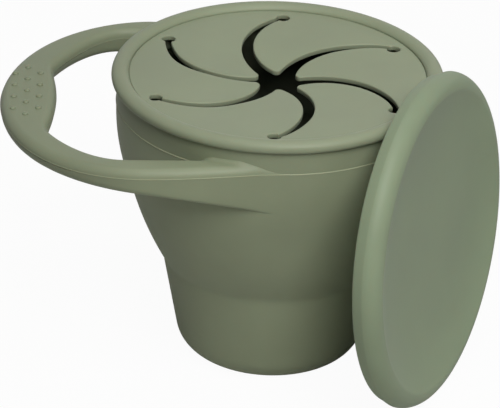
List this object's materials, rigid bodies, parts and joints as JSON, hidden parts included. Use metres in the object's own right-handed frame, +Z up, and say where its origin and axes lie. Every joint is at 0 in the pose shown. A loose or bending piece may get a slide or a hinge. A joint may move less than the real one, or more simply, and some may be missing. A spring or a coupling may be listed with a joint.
{
  "type": "toddler snack cup",
  "caption": "Silicone toddler snack cup with a loop handle, a fold-down middle, a lid of curved flaps that let a hand in, and a loose dust cover.",
  "frame": {"origin": "centre of the cup's flat base, on the surface it stands on", "axes": "+Z up along the cup's axis, the loop handle reaches along -X, the dust cover stands on the +X side"},
  "size_m": [0.1449, 0.1184, 0.0968],
  "materials": {
    "cup_silicone": "matte moulded silicone",
    "lid_silicone": "matte moulded silicone",
    "cover_silicone": "matte moulded silicone"
  },
  "bodies": {
    "base": {"cup_base": "cup_silicone", "fold_band": "cup_silicone"},
    "collar": {"cup_collar": "cup_silicone", "loop_handle": "cup_silicone"},
    "lid": {"lid_ring": "lid_silicone"},
    "flap_1": {"flap_1": "lid_silicone"},
    "flap_2": {"flap_2": "lid_silicone"},
    "flap_3": {"flap_3": "lid_silicone"},
    "flap_4": {"flap_4": "lid_silicone"},
    "flap_5": {"flap_5": "lid_silicone"},
    "flap_6": {"flap_6": "lid_silicone"},
    "cover": {"dust_cover": "cover_silicone"}
  },
  "joints": [
    {"name": "cup_collapse", "type": "slide", "parent": "base", "child": "collar", "axis": [0, 0, 1], "range_m": [-0.048, 0], "deforming": ["fold_band"]},
    {"name": "lid_lift", "type": "slide", "parent": "collar", "child": "lid", "axis": [0, 0, 1], "range_m": [0, 0.08]},
    {"name": "flap_1_bend", "type": "hinge", "parent": "lid", "child": "flap_1", "pos_m": [-0.01584, 0.02905, 0.0859], "axis": [0.878, 0.4787, 0], "range_deg": [-40, 65], "stiffness_Nm_per_rad": 0.01},
    {"name": "flap_2_bend", "type": "hinge", "parent": "lid", "child": "flap_2", "pos_m": [-0.03307, 0.00081, 0.0859], "axis": [0.0244, 0.9997, 0], "range_deg": [-40, 65], "stiffness_Nm_per_rad": 0.01},
    {"name": "flap_3_bend", "type": "hinge", "parent": "lid", "child": "flap_3", "pos_m": [-0.01724, -0.02824, 0.0859], "axis": [-0.8536, 0.521, 0], "range_deg": [-40, 65], "stiffness_Nm_per_rad": 0.01},
    {"name": "flap_4_bend", "type": "hinge", "parent": "lid", "child": "flap_4", "pos_m": [0.01584, -0.02905, 0.0859], "axis": [-0.878, -0.4787, 0], "range_deg": [-40, 65], "stiffness_Nm_per_rad": 0.01},
    {"name": "flap_5_bend", "type": "hinge", "parent": "lid", "child": "flap_5", "pos_m": [0.03307, -0.00081, 0.0859], "axis": [-0.0244, -0.9997, 0], "range_deg": [-40, 65], "stiffness_Nm_per_rad": 0.01},
    {"name": "flap_6_bend", "type": "hinge", "parent": "lid", "child": "flap_6", "pos_m": [0.01724, 0.02824, 0.0859], "axis": [0.8536, -0.521, 0], "range_deg": [-40, 65], "stiffness_Nm_per_rad": 0.01},
    {"name": "cover_away", "type": "slide", "parent": "base", "child": "cover", "axis": [0.9194, -0.3884, 0.0628], "range_m": [0, 0.04]}
  ]
}
